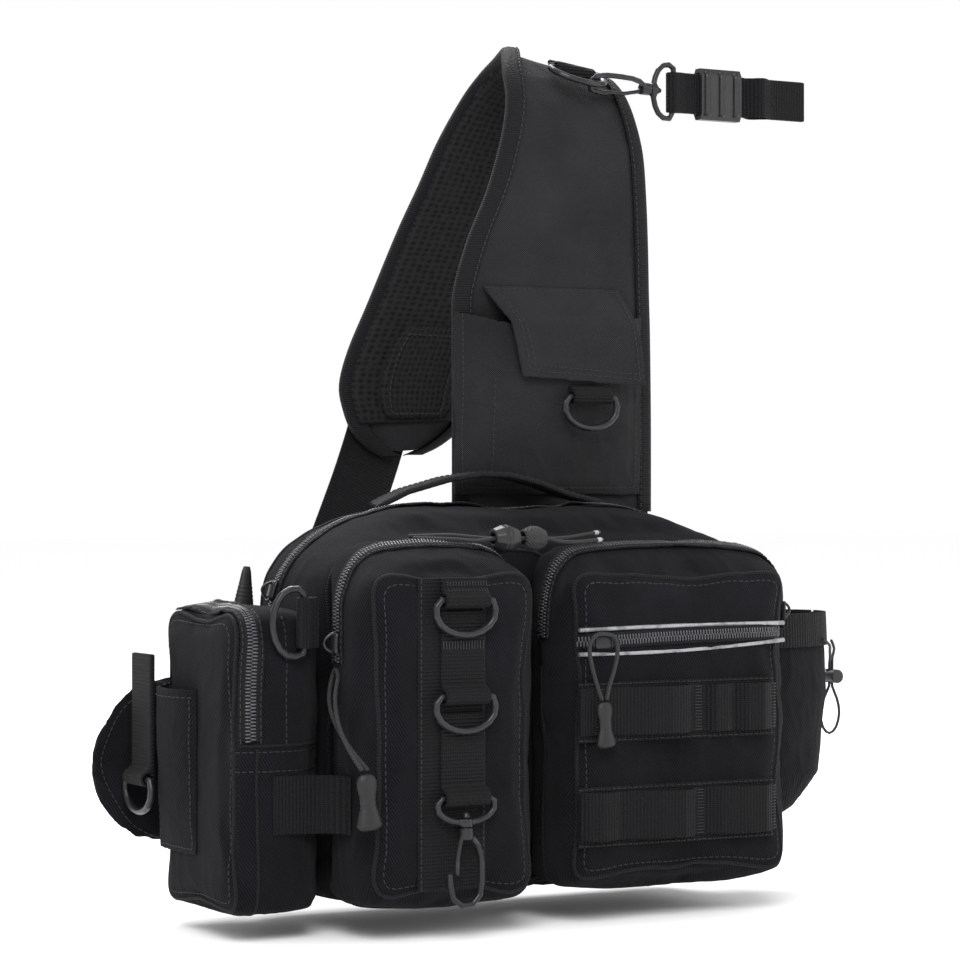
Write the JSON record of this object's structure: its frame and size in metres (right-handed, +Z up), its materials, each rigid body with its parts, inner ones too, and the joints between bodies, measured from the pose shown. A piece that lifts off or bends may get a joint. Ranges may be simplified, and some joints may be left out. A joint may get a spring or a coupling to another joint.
{
  "type": "fishing tackle sling bag",
  "caption": "Boxy padded cloth sling bag with zipped front and side pockets, bottle pocket, wide padded shoulder strap with pouch, webbing loops, rings, hooks and cords.",
  "frame": {"origin": "under the middle of the shoulder strap's crown, where the bag hangs on a shoulder", "axes": "+Z up, the bag's front with its pockets faces -Y, +X to the right as seen from the front"},
  "size_m": [0.439, 0.2576, 0.4591],
  "materials": {
    "body_cloth": "tightly woven padded oxford cloth, matt",
    "strap_cloth": "woven cloth over foam, matt",
    "air_mesh": "open knitted spacer mesh, matt",
    "webbing": "ribbed flat webbing, matt",
    "zip_coil": "moulded coil on woven tape, satin",
    "piping": "silver grey reflective piping",
    "ring_plastic": "moulded, satin",
    "hook_metal": "dark lacquered, satin",
    "rubber": "moulded, matt",
    "cord_cover": "braided cord cover, matt"
  },
  "bodies": {
    "root": {"main_shell": "body_cloth", "front_left_pocket": "body_cloth", "front_right_pocket": "body_cloth", "left_side_pocket": "body_cloth", "tool_sleeve": "body_cloth", "left_wing": "body_cloth", "bottle_pocket": "body_cloth", "bottle_pocket_channel": "body_cloth", "shoulder_strap": "strap_cloth", "strap_pouch": "strap_cloth", "pouch_flap": "strap_cloth", "back_panel": "air_mesh", "strap_mesh_lining": "air_mesh", "grab_handle": "webbing", "daisy_base_strip": "webbing", "daisy_upper_tab": "webbing", "daisy_middle_webbing": "webbing", "hook_webbing": "webbing", "upper_loop_strip": "webbing", "upper_loops": "webbing", "lower_loop_strip": "webbing", "lower_loops": "webbing", "elastic_band": "webbing", "shoulder_ring_tab": "webbing", "rear_ring_tab": "webbing", "strap_webbing": "webbing", "pouch_ring_tab": "webbing", "crown_ring_tab": "webbing", "rod_strap": "webbing", "main_zip": "zip_coil", "front_left_zip": "zip_coil", "front_right_zip": "zip_coil", "stash_zip": "zip_coil", "left_side_zip": "zip_coil", "upper_piping": "piping", "lower_piping": "piping", "daisy_upper_ring": "ring_plastic", "daisy_lower_ring": "ring_plastic", "shoulder_ring": "ring_plastic", "rear_ring": "ring_plastic", "pouch_ring": "ring_plastic", "crown_ring": "ring_plastic", "rod_strap_slide": "ring_plastic", "draw_cord_toggle": "ring_plastic", "hook_ring": "hook_metal", "front_snap_hook": "hook_metal", "rod_snap_hook": "hook_metal", "rod_swivel_ring": "hook_metal", "stash_slider": "hook_metal", "main_pull_grip": "rubber", "left_pull_grip": "rubber", "stash_pull_grip": "rubber", "shock_cord_lock": "rubber", "left_pull_cord": "cord_cover", "stash_pull_cord": "cord_cover", "draw_cord": "cord_cover", "shock_cord_1": "cord_cover", "shock_cord_2": "cord_cover", "shock_cord_knot": "cord_cover"}
  },
  "joints": []
}
